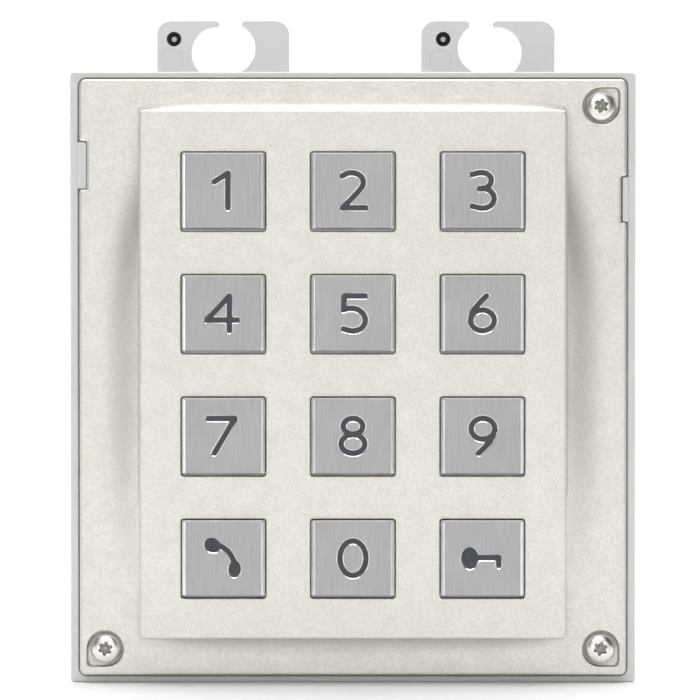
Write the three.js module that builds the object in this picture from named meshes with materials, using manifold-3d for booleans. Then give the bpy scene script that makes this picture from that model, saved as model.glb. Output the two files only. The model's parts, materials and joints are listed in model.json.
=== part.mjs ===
// Keypad access reader module for a modular door station.
// Millimetres. The front faces -Y, +X is to the right and +Z is up.
// The origin is the centre of the flat rear face of the housing, so every depth below is negative.

import * as THREE from "three";
import { mergeVertices } from "three/addons/utils/BufferGeometryUtils.js";
import Module from "manifold-3d";

const wasm = await Module();
wasm.setup();

// ---------------------------------------------------------------- driving dimensions

// Outlines seen from the front
const MODULE = { width: 96.4, height: 104.1, radius: 0.6 };
const PLATE = { width: 93.0, height: 101.4, radius: 1.1 };
const PLATE_GAP = 0.35;
const PANEL = { width: 72.4, height: 89.5, radius: 0.6 };
const PANEL_Z = 0.6;
const PANEL_CAVITY = { width: 65.0, height: 82.0, radius: 2.0 };
const PANEL_COVE = 3.0; // radius of the hollow corner between border and panel
const PANEL_DRAFT = 0.3;
const BODY = { width: 90.4, height: 98.1, radius: 3.0 };
const WALL = 2.0;

// Depth stations, from the key faces to the rear
const Y_KEY_FACE = -22.2;
const Y_PANEL = -21.0;
const Y_PANEL_INSIDE = -18.8;
const Y_FLANGE_FRONT = -18.7;
const Y_FLANGE_BACK = -17.7;
const Y_BORDER = -17.0;
const Y_RIM = -15.0;
const Y_POCKET_FLOOR = -15.1;
const Y_PLATE_BACK = -13.9;
const Y_LEDGE = -13.6;
const Y_BOARD_FRONT = -12.4;
const Y_BOARD_BACK = -10.8;
const Y_RIM_BACK = -11.0;
const Y_REAR_WALL = -WALL;
const THROUGH = 1.0; // how far a cutting tool runs past the face it cuts

// Keys: three columns and four rows
const KEY = { width: 14.05, height: 12.8, radius: 0.35 };
const KEY_PITCH_X = 21.9;
const KEY_PITCH_Z = 20.7;
const KEYS_Z = 0.7;
const KEY_CHAMFER = 0.55;
const KEY_HOLE_GAP = 0.4;
const FLANGE_LIP = 1.1;
const KEY_ROWS = [
  ["1", "2", "3"],
  ["4", "5", "6"],
  ["7", "8", "9"],
  ["call", "0", "unlock"],
];

// Legends: rounded strokes filled with dark resin
const STROKE = 0.95;
const GROOVE_DEPTH = 0.4;
const INLAY_RECESS = 0.08;
const INLAY_GAP = 0.05;

// Screws, bosses and posts
const CORNER_X = 42.2;
const CORNER_Z = 46.2;
const POCKET_RADIUS = 3.1;
const BOSS_RADIUS = 3.0;
const POST = { x: 39.3, z: 38.0, radius: 2.6 };
const CORNER_SCREW = { head: 2.45, headHeight: 1.7, shank: 1.2, length: 9.5, recess: 1.05 };
const BOARD_SCREW = { head: 2.1, headHeight: 1.2, shank: 0.95, length: 6.5, recess: 0.8 };
const SCREW_HOLE_GAP = 0.3; // around a shank where it passes through
const PILOT_GAP = 0.05; // around a shank where it is driven in
const PILOT_END = -4.5;

// Hook ears on top of the housing
const EARS = [
  { x: -22.4, left: -33.8, right: -11.0, neck: [-23.15, -19.2], tilt: 1, hole: -30.9, mark: -31.2 },
  { x: 23.7, left: 11.85, right: 34.85, neck: [20.1, 24.3], tilt: -1, hole: 15.6, mark: 15.1 },
];
const EAR_TOP = 61.3;
const EAR_FRONT = -5.0;
const EAR_BACK = -1.5;
const EAR_CORNER = 2.4;
const EAR_EYE = { z: 56.2, radius: 4.38, halfRun: 1.17, slope: 0.3 };
const EAR_HOLE = { z: 58.15, radius: 1.25, depth: 2.4, pin: 0.6, pinRecess: 1.1 };
const EAR_MARK = { z: 54.55, radius: 1.9, depth: 0.2 };
const EAR_POCKET = { clearance: 1.0, top: -39.5, front: -6.2 };

// Snap latches that hold the plate's two long edges
const LATCHES = [
  { side: -1, z: 36.1, length: 8.2, depth: 1.3 },
  { side: 1, z: 30.3, length: 7.9, depth: 0.9 },
];
const LATCH_FRONT = -16.2;
const LATCH_GAP = 0.35;

// Seal, mat and board
const SEAL = { x: 45.0, z: 49.0, width: 1.4, radius: 2.0, groove: 0.25, floor: -12.3 };
const MAT = { width: 72.0, height: 84.6, radius: 2.0 };
const MAT_FRONT = -13.8;
const DOME = { base: 13.8, top: 10.8, shoulder: -16.2, front: -17.6, skin: 0.8, aspect: 0.89 };
const PILL = { radius: 1.9, thickness: 0.8, back: -13.7 };
const BOARD = { width: 84.0, height: 85.6, radius: 1.5 };
const LED = { width: 3.5, height: 2.8, thickness: 0.8, window: 1.0 };

// Bus sockets on the back of the board, reached through windows in the rear wall
const SOCKET = { x: 16.0, z: 12.0, width: 13.2, height: 9.0, back: -0.6, cavityDepth: 8.0, wall: 1.0 };
const SOCKET_PINS = 5;
const SOCKET_PIN = { size: 0.6, pitch: 2.0, drop: 1.9, shortfall: 1.5 };
const SOCKET_KEYWAY = { width: 3.0, depth: 2.5 };
const WINDOW_GAP = 0.5;
const LABEL = { width: 44, height: 18, radius: 1.5, z: -16, depth: 0.3 };
const MICROCONTROLLER = { x: 0, z: -12, width: 10, height: 10, thickness: 1.4 };
const TRANSCEIVER = { x: 0, z: 12, width: 5, height: 6.2, thickness: 1.5 };

// ---------------------------------------------------------------- materials

const finish = (color, roughness, metalness) =>
  new THREE.MeshStandardMaterial({ color, roughness, metalness });
const castNickel = finish(0xd9d6cb, 0.45, 0.9);
const satinSteel = finish(0xb0afae, 0.35, 1.0);
const darkResin = finish(0x464b55, 0.5, 0.0);
const brightSteel = finish(0xdcdad4, 0.25, 1.0);
const greyPlastic = finish(0xd2d2d3, 0.55, 0.0);
const blackRubber = finish(0x2b2b2d, 0.8, 0.0);
const clearSilicone = finish(0xe4e6e4, 0.6, 0.0);
const carbon = finish(0x1c1c1e, 0.7, 0.0);
const boardGreen = finish(0x1f5a3c, 0.5, 0.0);
const ledWhite = finish(0xf2efdc, 0.3, 0.0);
const chipBlack = finish(0x202022, 0.6, 0.0);
const socketIvory = finish(0xe8e2d2, 0.5, 0.0);

// ---------------------------------------------------------------- solids

// A three.js geometry as a manifold solid.
function solidFrom(geometry) {
  const bare = new THREE.BufferGeometry();
  bare.setAttribute("position", geometry.getAttribute("position"));
  if (geometry.index) bare.setIndex(geometry.index);
  const merged = mergeVertices(bare, 1e-4);
  return new wasm.Manifold(
    new wasm.Mesh({
      numProp: 3,
      vertProperties: merged.attributes.position.array,
      triVerts: new Uint32Array(merged.index.array),
    }),
  );
}

// A manifold solid as a three.js geometry.
function geometryFrom(solid) {
  const made = solid.getMesh();
  const geometry = new THREE.BufferGeometry();
  geometry.setAttribute("position", new THREE.BufferAttribute(made.vertProperties, 3));
  geometry.setIndex(new THREE.BufferAttribute(made.triVerts, 1));
  geometry.computeVertexNormals();
  return geometry;
}

const join = (solids) => solids.reduce((sum, solid) => sum.add(solid));
const cut = (solid, tools) => tools.reduce((rest, tool) => rest.subtract(tool), solid);

// A closed outline in the XZ plane, pushed through from depth front to depth back.
function prism(shape, front, back, curveSegments = 1.5) {
  const geometry = new THREE.ExtrudeGeometry(shape, {
    depth: back - front,
    bevelEnabled: false,
    curveSegments,
  });
  geometry.rotateX(Math.PI / 2);
  geometry.translate(0, back, 0);
  return solidFrom(geometry);
}

function box(x, y, z, width, depth, height) {
  const geometry = new THREE.BoxGeometry(width, depth, height);
  geometry.translate(x, y, z);
  return solidFrom(geometry);
}

// A round bar along Y.
function bar(x, z, radius, front, back, segments = 16) {
  const geometry = new THREE.CylinderGeometry(radius, radius, back - front, segments);
  geometry.translate(x, (front + back) / 2, z);
  return solidFrom(geometry);
}

function roundedRect({ width, height, radius }, x = 0, z = 0) {
  const [right, top] = [width / 2 - radius, height / 2 - radius];
  const shape = new THREE.Shape();
  shape.absarc(x + right, z + top, radius, 0, Math.PI / 2);
  shape.absarc(x - right, z + top, radius, Math.PI / 2, Math.PI);
  shape.absarc(x - right, z - top, radius, Math.PI, 1.5 * Math.PI);
  shape.absarc(x + right, z - top, radius, 1.5 * Math.PI, 2 * Math.PI);
  return shape;
}

const grown = ({ width, height, radius }, by) => ({
  width: width + 2 * by,
  height: height + 2 * by,
  radius: Math.max(radius + by, 0.1),
});

// Rounded rectangles at successive depths, joined into one skin.
// Each ring is [growth, depth], and the front ring comes first.
function stack(outline, rings, x = 0, z = 0, divisions = 1.5) {
  const points = rings.map(([by, y]) =>
    roundedRect(grown(outline, by), x, z)
      .getPoints(divisions)
      .slice(0, -1)
      .map((p) => [p.x, y, p.y]),
  );
  const count = points[0].length;
  const index = [];
  const last = (rings.length - 1) * count;
  for (let i = 0; i < count; i++) {
    const next = (i + 1) % count;
    for (let ring = 0; ring < last; ring += count) {
      index.push(ring + i, ring + count + i, ring + count + next);
      index.push(ring + i, ring + count + next, ring + next);
    }
    if (i > 0 && i < count - 1) {
      index.push(0, i, i + 1);
      index.push(last, last + i + 1, last + i);
    }
  }
  const geometry = new THREE.BufferGeometry();
  geometry.setAttribute("position", new THREE.Float32BufferAttribute(points.flat(2), 3));
  geometry.setIndex(index);
  return solidFrom(geometry);
}

// A turned piece around the Y axis. The profile is [radius, depth], from the front of the axis to its rear.
function turned(profile, segments = 12) {
  const points = profile.map(([radius, y]) => new THREE.Vector2(radius, y));
  return solidFrom(new THREE.LatheGeometry(points, segments));
}

// ---------------------------------------------------------------- legends

const line = (x0, z0, x1, z1) =>
  new THREE.LineCurve(new THREE.Vector2(x0, z0), new THREE.Vector2(x1, z1));
const bend = (...points) => new THREE.SplineCurve(points.map(([x, z]) => new THREE.Vector2(x, z)));
const ring = (x, z, rx, rz) => ({ centre: [x, z], radii: [rx, rz], filled: false, turn: 0 });
const disc = (x, z, rx, rz, turn = 0) => ({ centre: [x, z], radii: [rx, rz], filled: true, turn });

// Centrelines in the key face, measured from the key's centre.
const LEGENDS = {
  1: [line(0.8, -2.92, 0.8, 2.92), line(0.8, 2.92, -1.45, 1.5)],
  2: [
    bend([-1.8, 2.45], [-0.4, 2.98], [1.2, 2.7], [1.85, 1.4], [0.95, -0.25], [-1.75, -2.92]),
    line(-1.75, -2.92, 2.1, -2.92),
  ],
  3: [
    bend([-1.75, 2.7], [-0.2, 2.98], [1.25, 2.45], [1.4, 1.3], [0.5, 0.45], [-0.55, 0.3]),
    bend([-0.55, 0.3], [0.9, 0.05], [1.85, -1.3], [1.1, -2.65], [-0.3, -2.95], [-1.75, -2.65]),
  ],
  4: [line(1.05, 2.92, -2.75, -1.15), line(-2.75, -1.15, 2.4, -1.15), line(1.05, 2.92, 1.05, -2.92)],
  5: [
    line(2.05, 2.92, -1.45, 2.92),
    line(-1.45, 2.92, -1.6, 0.55),
    bend([-1.6, 0.55], [0.2, 0.85], [1.8, 0.1], [2.1, -1.2], [1.2, -2.6], [-0.2, -2.95], [-1.6, -2.65]),
  ],
  6: [ring(-0.05, -1.2, 2.0, 1.75), bend([0.65, 2.92], [-0.6, 1.5], [-1.6, 0.15], [-2.05, -1.2])],
  7: [line(-2.5, 2.92, 1.95, 2.92), line(1.95, 2.92, -1.5, -2.92)],
  8: [ring(0, 1.62, 1.65, 1.33), ring(0, -1.38, 2.0, 1.57)],
  9: [ring(0.05, 1.2, 2.0, 1.75), bend([-0.65, -2.92], [0.6, -1.5], [1.6, -0.15], [2.05, 1.2])],
  0: [ring(0, 0, 2.2, 2.92)],
  call: [
    disc(-1.85, 2.2, 1.3, 1.1, -0.5),
    bend([-1.5, 2.35], [-0.2, 1.9], [1.1, 0.8], [1.85, -0.8], [1.9, -1.7]),
    disc(1.9, -1.85, 0.95, 1.3, -0.1),
  ],
  unlock: [disc(-2.15, 0, 1.35, 1.75), line(-1.3, 0.1, 2.75, 0.1), line(2.75, 0.1, 2.75, -1.25)],
};
const BEND_STEPS = 6;
const CAP_STEPS = 3;

// The outline of a stroke with round ends that follows an open curve.
function strokeShape(curve, half) {
  const steps = curve.isLineCurve ? 1 : BEND_STEPS;
  const spine = Array.from({ length: steps + 1 }, (_, i) => curve.getPoint(i / steps));
  const heading = spine.map((_, i) => curve.getTangent(i / steps).angle());
  const outline = [];
  const add = (point, angle) =>
    outline.push(new THREE.Vector2(point.x + half * Math.cos(angle), point.y + half * Math.sin(angle)));
  for (let i = 0; i <= steps; i++) add(spine[i], heading[i] - Math.PI / 2);
  for (let k = 1; k < CAP_STEPS; k++) add(spine[steps], heading[steps] + Math.PI * (k / CAP_STEPS - 0.5));
  for (let i = steps; i >= 0; i--) add(spine[i], heading[i] + Math.PI / 2);
  for (let k = 1; k < CAP_STEPS; k++) add(spine[0], heading[0] + Math.PI * (k / CAP_STEPS + 0.5));
  return new THREE.Shape(outline);
}

function ovalShape({ centre, radii, filled, turn }, half, grow) {
  const [rx, rz] = radii.map((radius) => radius + (filled ? grow : half));
  const shape = new THREE.Shape();
  shape.absellipse(...centre, rx, rz, 0, 2 * Math.PI, false, turn);
  if (!filled) {
    const inner = new THREE.Path();
    inner.absellipse(...centre, radii[0] - half, radii[1] - half, 0, 2 * Math.PI, true, turn);
    shape.holes.push(inner);
  }
  return shape;
}

// A whole legend between two depths, its strokes grown on each side by a clearance.
function legendSolid(name, grow, front, back) {
  const half = STROKE / 2 + grow;
  const strokes = LEGENDS[name].map((part) =>
    part.centre ? ovalShape(part, half, grow) : strokeShape(part, half),
  );
  return join(strokes.map((shape) => prism(shape, front, back, 8)));
}

// ---------------------------------------------------------------- where repeated pieces go

const keys = KEY_ROWS.flatMap((names, row) =>
  names.map((name, column) => ({
    name,
    x: (column - 1) * KEY_PITCH_X,
    z: KEYS_Z + (1.5 - row) * KEY_PITCH_Z,
  })),
);
const quadrants = [
  { name: "top_left", sx: -1, sz: 1 },
  { name: "top_right", sx: 1, sz: 1 },
  { name: "bottom_left", sx: -1, sz: -1 },
  { name: "bottom_right", sx: 1, sz: -1 },
];
const corners = quadrants.map(({ name, sx, sz }) => ({ name, x: sx * CORNER_X, z: sz * CORNER_Z }));
const posts = quadrants.map(({ name, sx, sz }) => ({ name, x: sx * POST.x, z: sz * POST.z }));

// The plate is screwed down at three of its four corners.
const screwed = corners.filter(({ name }) => name !== "top_left");

// The backlights sit between the columns, one pair to each row.
const lights = KEY_ROWS.flatMap((_, row) =>
  [-1, 1].map((side) => ({
    name: `backlight_led_${row * 2 + (side > 0 ? 2 : 1)}`,
    x: (side * KEY_PITCH_X) / 2,
    z: KEYS_Z + (1.5 - row) * KEY_PITCH_Z,
  })),
);

// ---------------------------------------------------------------- the parts

// Screw pocket: a circle whose quarter towards the plate's corner is square.
function pocketSolid({ x, z }) {
  const reach = POCKET_RADIUS / 2;
  const square = { width: POCKET_RADIUS, height: POCKET_RADIUS, radius: 0.8 };
  const [sx, sz] = [Math.sign(x), Math.sign(z)];
  return join([
    bar(x, z, POCKET_RADIUS, Y_BORDER - THROUGH, Y_POCKET_FLOOR, 24),
    prism(roundedRect(square, x + sx * reach, z + sz * reach), Y_BORDER - THROUGH, Y_POCKET_FLOOR),
  ]);
}

// The raised panel's rings: a blunted top edge, a drafted wall and a hollow corner down to the border.
function panelRings() {
  const rings = [[-0.35, Y_PANEL], [0, Y_PANEL + 0.35]];
  const steps = 3;
  for (let k = 0; k <= steps; k++) {
    const angle = (k / steps) * (Math.PI / 2);
    rings.push([
      PANEL_DRAFT + PANEL_COVE * (1 - Math.cos(angle)),
      Y_BORDER - PANEL_COVE * (1 - Math.sin(angle)),
    ]);
  }
  rings.push([PANEL_DRAFT + PANEL_COVE, Y_BORDER + 0.5]);
  return rings;
}

// Die-cast front plate: a border and a raised panel, hollow behind, with twelve key holes.
function frontPlate() {
  const border = stack(PLATE, [
    [-0.45, Y_BORDER],
    [-0.12, Y_BORDER + 0.12],
    [0, Y_BORDER + 0.45],
    [0, Y_PLATE_BACK],
  ]);
  const panel = stack(PANEL, panelRings(), 0, PANEL_Z);
  const cavity = prism(roundedRect(PANEL_CAVITY, 0, PANEL_Z), Y_PANEL_INSIDE, Y_PLATE_BACK + THROUGH);
  const holes = keys.map(({ x, z }) =>
    prism(roundedRect(grown(KEY, KEY_HOLE_GAP), x, z), Y_PANEL - THROUGH, Y_PANEL_INSIDE + 0.1, 0.5),
  );
  const shankHoles = screwed.map(({ x, z }) =>
    bar(x, z, CORNER_SCREW.shank + SCREW_HOLE_GAP, Y_POCKET_FLOOR - 0.5, Y_PLATE_BACK + THROUGH),
  );
  const notches = LATCHES.map(({ side, z, length, depth }) => {
    const width = depth + THROUGH;
    const x = side * (PLATE.width / 2 - depth + width / 2);
    return box(x, Y_RIM, z, width, 6, length);
  });
  return cut(join([border, panel]), [
    cavity,
    ...holes,
    ...screwed.map(pocketSolid),
    ...shankHoles,
    ...notches,
  ]);
}

// One hook ear: a plate with a slanted eye, open at the top through a neck narrower than the eye.
function earSolid({ x, left, right, neck, tilt, hole, mark }) {
  const outline = new THREE.Shape();
  outline.moveTo(left, BODY.height / 2 - WALL / 2);
  outline.lineTo(right, BODY.height / 2 - WALL / 2);
  outline.absarc(right - EAR_CORNER, EAR_TOP - EAR_CORNER, EAR_CORNER, 0, Math.PI / 2);
  outline.absarc(left + EAR_CORNER, EAR_TOP - EAR_CORNER, EAR_CORNER, Math.PI / 2, Math.PI);
  const rise = tilt * EAR_EYE.slope * EAR_EYE.halfRun;
  const axis = line(x - EAR_EYE.halfRun, EAR_EYE.z - rise, x + EAR_EYE.halfRun, EAR_EYE.z + rise);
  const neckSolid = box(
    (neck[0] + neck[1]) / 2,
    (EAR_FRONT + EAR_BACK) / 2,
    (EAR_TOP + EAR_EYE.z) / 2 + THROUGH,
    neck[1] - neck[0],
    EAR_BACK - EAR_FRONT + 2 * THROUGH,
    EAR_TOP - EAR_EYE.z + THROUGH,
  );
  const plate = cut(prism(outline, EAR_FRONT, EAR_BACK), [
    prism(strokeShape(axis, EAR_EYE.radius), EAR_FRONT - THROUGH, EAR_BACK + THROUGH),
    neckSolid,
    bar(hole, EAR_HOLE.z, EAR_HOLE.radius, EAR_FRONT - THROUGH, EAR_FRONT + EAR_HOLE.depth, 14),
    bar(mark, EAR_MARK.z, EAR_MARK.radius, EAR_FRONT - THROUGH, EAR_FRONT + EAR_MARK.depth, 20),
  ]);
  const pin = bar(hole, EAR_HOLE.z, EAR_HOLE.pin, EAR_FRONT + EAR_HOLE.pinRecess, EAR_BACK, 10);
  return plate.add(pin);
}

// Where an ear of the module below fits into the foot of this one, grown by a wall to make its shell.
function earPocket({ left, right }, wall) {
  const width = right - left + 2 * (EAR_POCKET.clearance + wall);
  const bottom = -BODY.height / 2 - (wall ? 0 : THROUGH);
  const top = EAR_POCKET.top + wall;
  const front = EAR_POCKET.front - wall;
  const back = wall ? 0 : THROUGH;
  return box((left + right) / 2, (front + back) / 2, (top + bottom) / 2, width, back - front, top - bottom);
}

// A latch that reaches forward through the plate's notch.
function latchSolid({ side, z, length, depth }) {
  const inner = PLATE.width / 2 - depth + LATCH_GAP;
  const outer = MODULE.width / 2 - 0.5;
  const back = Y_LEDGE + 0.2;
  const x = (side * (inner + outer)) / 2;
  return box(x, (LATCH_FRONT + back) / 2, z, outer - inner, back - LATCH_FRONT, length - 2 * LATCH_GAP);
}

// The seal's course around the housing, as an outline grown on both sides.
function sealShape(grow) {
  const course = { width: 2 * SEAL.x, height: 2 * SEAL.z, radius: SEAL.radius };
  const shape = roundedRect(grown(course, SEAL.width / 2 + grow));
  shape.holes.push(roundedRect(grown(course, -SEAL.width / 2 - grow)));
  return shape;
}

// Moulded rear housing: a tray with a rim, screw bosses, board posts, latches and the two ears.
function rearHousing() {
  const rim = stack(MODULE, [[-0.3, Y_RIM], [0, Y_RIM + 0.3], [0, Y_RIM_BACK]]);
  const body = stack(BODY, [[0, Y_RIM_BACK - 0.5], [0, -0.6], [-0.6, 0]]);
  const recess = prism(roundedRect(grown(PLATE, PLATE_GAP)), Y_RIM - THROUGH, Y_LEDGE);
  const inside = prism(roundedRect(grown(BODY, -WALL)), Y_LEDGE - THROUGH, Y_REAR_WALL);
  const tray = join([
    cut(join([rim, body]), [recess, inside]),
    ...corners.map(({ x, z }) => bar(x, z, BOSS_RADIUS, Y_LEDGE, Y_REAR_WALL + 0.5, 14)),
    ...posts.map(({ x, z }) => bar(x, z, POST.radius, Y_BOARD_BACK + 0.05, Y_REAR_WALL + 0.5, 12)),
    ...LATCHES.map(latchSolid),
    ...EARS.map(earSolid),
    ...EARS.map((ear) => earPocket(ear, WALL)),
  ]);
  const pilots = screwed.map(({ x, z }) =>
    bar(x, z, CORNER_SCREW.shank + PILOT_GAP, Y_LEDGE - THROUGH, PILOT_END, 14),
  );
  const postPilots = posts.map(({ x, z }) =>
    bar(x, z, BOARD_SCREW.shank + PILOT_GAP, Y_BOARD_BACK - THROUGH, PILOT_END, 12),
  );
  const opening = { ...grown(SOCKET, WINDOW_GAP), radius: 0.8 };
  const windows = [-1, 1].map((side) =>
    prism(roundedRect(opening, side * SOCKET.x, SOCKET.z), Y_REAR_WALL - THROUGH, THROUGH),
  );
  return cut(tray, [
    prism(sealShape(SEAL.groove), Y_LEDGE - THROUGH, SEAL.floor),
    ...pilots,
    ...postPilots,
    ...windows,
    ...EARS.map((ear) => earPocket(ear, 0)),
    prism(roundedRect(LABEL, 0, LABEL.z), -LABEL.depth, THROUGH),
  ]);
}

// A pan head screw with a six-lobe recess. The underside of its head is at depth zero.
function screwSolid({ head, headHeight, shank, length, recess }) {
  const blank = turned([
    [0, -headHeight],
    [head * 0.6, -headHeight],
    [head * 0.86, -headHeight * 0.88],
    [head, -headHeight * 0.55],
    [head, 0],
    [shank, 0],
    [shank, length - 0.7],
    [shank * 0.55, length],
    [0, length],
  ]);
  const lobes = new THREE.Shape(
    Array.from({ length: 12 }, (_, i) => {
      const angle = (i / 12) * 2 * Math.PI;
      const radius = recess * (i % 2 ? 0.72 : 1);
      return new THREE.Vector2(radius * Math.cos(angle), radius * Math.sin(angle));
    }),
  );
  return blank.subtract(prism(lobes, -headHeight - THROUGH, -headHeight * 0.4));
}

// Cord seal that lies in the housing's groove, under the plate's edge.
const perimeterSeal = () => prism(sealShape(0), Y_PLATE_BACK + 0.03, SEAL.floor - 0.03);

// Silicone mat: a sheet with a hollow dome and a centre plunger under each key, and a window for each light.
function keypadMat() {
  const dome = { width: DOME.base, height: DOME.base * DOME.aspect, radius: 1.2 };
  const taper = (DOME.top - DOME.base) / 2;
  const sheet = prism(roundedRect(MAT), MAT_FRONT, Y_BOARD_FRONT - 0.05);
  const outside = [[taper, DOME.front], [taper, DOME.shoulder], [0, MAT_FRONT + 0.2]];
  const inside = [
    [taper - DOME.skin, DOME.shoulder + 0.4],
    [-DOME.skin, MAT_FRONT],
    [-DOME.skin, Y_BOARD_FRONT + THROUGH],
  ];
  const plungerBack = PILL.back - PILL.thickness - 0.05;
  const windows = lights.map(({ x, z }) =>
    box(x, MAT_FRONT, z, LED.width + LED.window, 6, LED.height + LED.window),
  );
  return join([
    cut(join([sheet, ...keys.map(({ x, z }) => stack(dome, outside, x, z, 0.5))]), [
      ...keys.map(({ x, z }) => stack(dome, inside, x, z, 0.5)),
      ...windows,
    ]),
    ...keys.map(({ x, z }) => bar(x, z, PILL.radius + 0.4, DOME.shoulder, plungerBack, 8)),
  ]);
}

function circuitBoard() {
  const radius = BOARD_SCREW.shank + SCREW_HOLE_GAP;
  const holes = posts.map(({ x, z }) =>
    bar(x, z, radius, Y_BOARD_FRONT - THROUGH, Y_BOARD_BACK + THROUGH),
  );
  return cut(prism(roundedRect(BOARD), Y_BOARD_FRONT, Y_BOARD_BACK), holes);
}

// Metal key with a retaining flange and an engraved legend.
function keySolid(name) {
  const rings = [
    [-KEY_CHAMFER, Y_KEY_FACE],
    [0, Y_KEY_FACE + KEY_CHAMFER],
    [0, Y_FLANGE_FRONT + 0.2],
  ];
  const cap = stack(KEY, rings, 0, 0, 0.5);
  const flange = stack(grown(KEY, FLANGE_LIP), [[0, Y_FLANGE_FRONT], [0, Y_FLANGE_BACK]], 0, 0, 0.5);
  const groove = legendSolid(name, INLAY_GAP, Y_KEY_FACE - THROUGH, Y_KEY_FACE + GROOVE_DEPTH);
  return cap.add(flange).subtract(groove);
}

// Wire-to-board socket: a box open to the rear with a row of pins standing on its floor.
function socketSolid() {
  const { width, height, back, cavityDepth, wall } = SOCKET;
  const shell = prism(roundedRect({ width, height, radius: 0.5 }), Y_BOARD_BACK + 0.05, back);
  const mouth = roundedRect({ width: width - 2 * wall, height: height - 2 * wall, radius: 0.3 });
  const cavity = prism(mouth, back - cavityDepth, back + THROUGH);
  const { width: keyWidth, depth: keyDepth } = SOCKET_KEYWAY;
  const keyway = box(0, back, (height - wall) / 2, keyWidth, 2 * keyDepth, wall + 0.4);
  const pins = Array.from({ length: SOCKET_PINS }, (_, i) => {
    const x = (i - (SOCKET_PINS - 1) / 2) * SOCKET_PIN.pitch;
    const y = back - cavityDepth / 2 - 1;
    return box(x, y, -SOCKET_PIN.drop, SOCKET_PIN.size, cavityDepth - SOCKET_PIN.shortfall, SOCKET_PIN.size);
  });
  return cut(shell, [cavity, keyway]).add(join(pins));
}

// A chip on the back of the board, with a dimple that marks its first pin.
function chipSolid({ width, height, thickness }) {
  const front = Y_BOARD_BACK + 0.05;
  const back = front + thickness;
  const rings = [[0, front], [0, front + thickness * 0.6], [-0.15, back]];
  const dimple = bar(1.2 - width / 2, height / 2 - 1.2, 0.4, back - 0.15, back + THROUGH, 10);
  return stack({ width, height, radius: 0.3 }, rings, 0, 0, 0.5).subtract(dimple);
}

// ---------------------------------------------------------------- the assembly

const module = new THREE.Group();

// One named mesh, at its place across the front. Its depth is in its own shape unless y is given.
function addMesh(name, solid, material, { x = 0, y = 0, z = 0 } = {}, parent = module) {
  const mesh = new THREE.Mesh(geometryFrom(solid), material);
  mesh.name = name;
  mesh.position.set(x, y, z);
  parent.add(mesh);
}

addMesh("front_plate", frontPlate(), castNickel);
addMesh("rear_housing", rearHousing(), greyPlastic);
addMesh("perimeter_seal", perimeterSeal(), blackRubber);
addMesh("keypad_mat", keypadMat(), clearSilicone);
addMesh("circuit_board", circuitBoard(), boardGreen);
addMesh("bus_socket_left", socketSolid(), socketIvory, { x: -SOCKET.x, z: SOCKET.z });
addMesh("bus_socket_right", socketSolid(), socketIvory, { x: SOCKET.x, z: SOCKET.z });
addMesh("microcontroller_chip", chipSolid(MICROCONTROLLER), chipBlack, MICROCONTROLLER);
addMesh("bus_transceiver_chip", chipSolid(TRANSCEIVER), chipBlack, TRANSCEIVER);

for (const { name, x, z } of screwed) {
  const place = { x, y: Y_POCKET_FLOOR - 0.02, z };
  addMesh(`corner_screw_${name}`, screwSolid(CORNER_SCREW), brightSteel, place);
}
for (const { name, x, z } of posts) {
  const place = { x, y: Y_BOARD_FRONT - 0.02, z };
  addMesh(`board_screw_${name}`, screwSolid(BOARD_SCREW), brightSteel, place);
}
for (const { name, x, z } of lights) {
  const place = { x, y: Y_BOARD_FRONT - LED.thickness / 2 - 0.03, z };
  addMesh(name, box(0, 0, 0, LED.width, LED.thickness, LED.height), ledWhite, place);
}

// A key, its legend and its contact pill share one group, placed at the key's centre.
for (const { name, x, z } of keys) {
  const key = new THREE.Group();
  key.position.set(x, 0, z);
  module.add(key);
  const legend = legendSolid(name, 0, Y_KEY_FACE + INLAY_RECESS, Y_KEY_FACE + GROOVE_DEPTH - 0.03);
  const pill = bar(0, 0, PILL.radius, PILL.back - PILL.thickness, PILL.back, 10);
  addMesh(`key_${name}`, keySolid(name), satinSteel, {}, key);
  addMesh(`legend_${name}`, legend, darkResin, {}, key);
  addMesh(`contact_pill_${name}`, pill, carbon, {}, key);
}

export default module;
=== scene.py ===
"""A keypad module of a door station: its camera, fine meshes, materials and studio light."""

import json
import math

import bmesh
import bpy
import numpy as np
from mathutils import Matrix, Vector
from mathutils.geometry import delaunay_2d_cdt


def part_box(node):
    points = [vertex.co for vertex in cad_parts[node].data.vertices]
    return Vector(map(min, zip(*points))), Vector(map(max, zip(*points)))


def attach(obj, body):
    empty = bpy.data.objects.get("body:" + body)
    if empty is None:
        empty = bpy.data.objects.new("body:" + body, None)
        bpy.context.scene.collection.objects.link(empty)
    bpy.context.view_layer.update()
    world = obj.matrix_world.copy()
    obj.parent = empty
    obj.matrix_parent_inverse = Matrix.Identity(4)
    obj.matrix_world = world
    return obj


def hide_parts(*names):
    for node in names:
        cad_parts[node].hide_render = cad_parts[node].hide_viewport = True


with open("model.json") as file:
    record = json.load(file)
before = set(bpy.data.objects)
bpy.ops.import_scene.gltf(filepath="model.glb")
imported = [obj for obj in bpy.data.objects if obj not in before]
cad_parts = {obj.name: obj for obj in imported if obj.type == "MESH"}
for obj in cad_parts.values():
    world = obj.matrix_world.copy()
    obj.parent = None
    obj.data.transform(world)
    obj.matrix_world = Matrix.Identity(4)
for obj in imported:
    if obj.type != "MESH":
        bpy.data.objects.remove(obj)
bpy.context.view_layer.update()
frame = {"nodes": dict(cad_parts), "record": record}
nodes = frame["nodes"]

MM = 0.001
KEYS = ["1", "2", "3", "4", "5", "6", "7", "8", "9", "call", "0", "unlock"]
SCREWED = ["top_right", "bottom_left", "bottom_right"]
QUADRANTS = ["top_left"] + SCREWED


def box_mm(node):
    """Lowest and highest corner of a node, in millimetres."""
    low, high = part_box(node)
    return [c / MM for c in low], [c / MM for c in high]


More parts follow.
